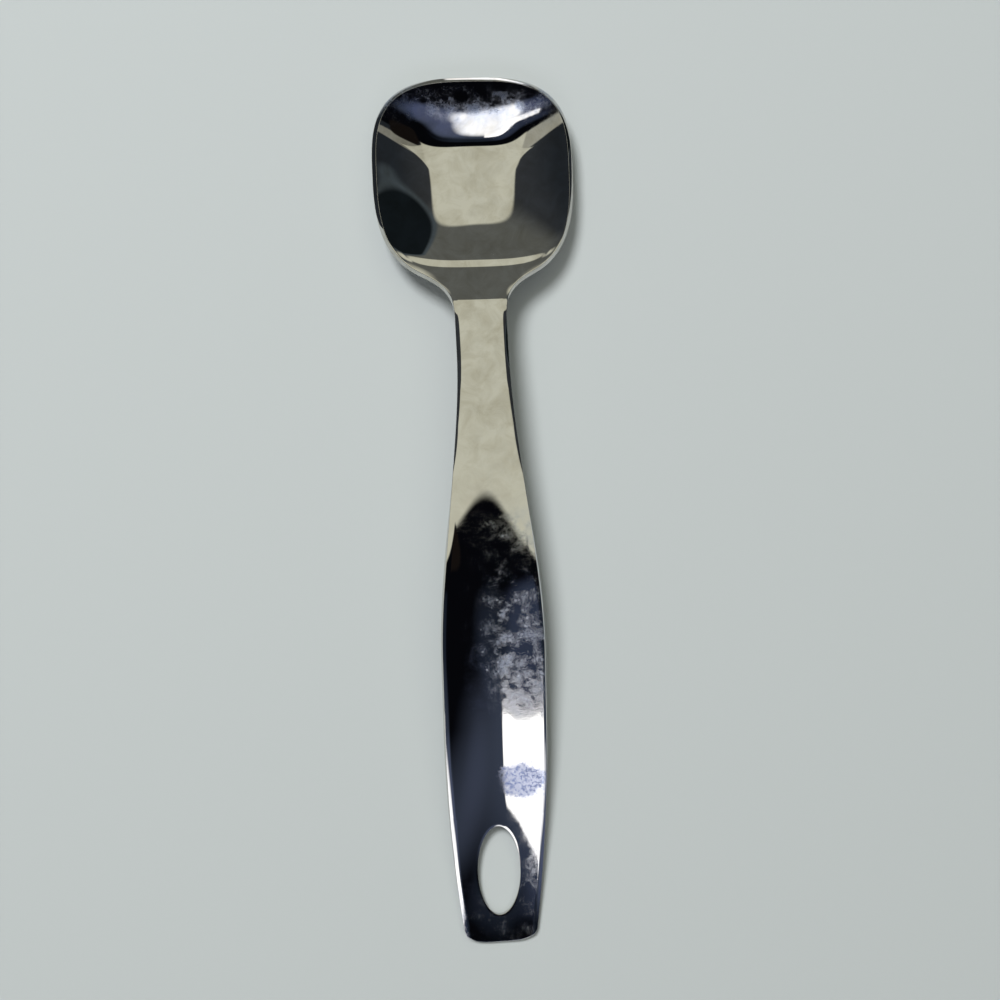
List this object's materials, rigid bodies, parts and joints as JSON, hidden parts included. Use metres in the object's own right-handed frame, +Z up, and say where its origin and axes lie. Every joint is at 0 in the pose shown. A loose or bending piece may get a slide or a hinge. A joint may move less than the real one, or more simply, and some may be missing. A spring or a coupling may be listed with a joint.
{
  "type": "serving spoon",
  "caption": "Serving spoon pressed from one sheet of polished stainless steel: rounded-square bowl, ramped neck, arched handle with a thumb trough and an oval hanging hole",
  "frame": {"origin": "middle of the spoon's box in plan, at the level of the table it lies on", "axes": "+Y from the handle's end to the bowl's tip, +Z up out of the bowl, +X across"},
  "size_m": [0.0554, 0.2412, 0.0201],
  "materials": {
    "polished_steel": "polished all over to a mirror, dulled by fine scratches of use"
  },
  "bodies": {
    "root": {"spoon_body": "polished_steel"}
  },
  "joints": []
}
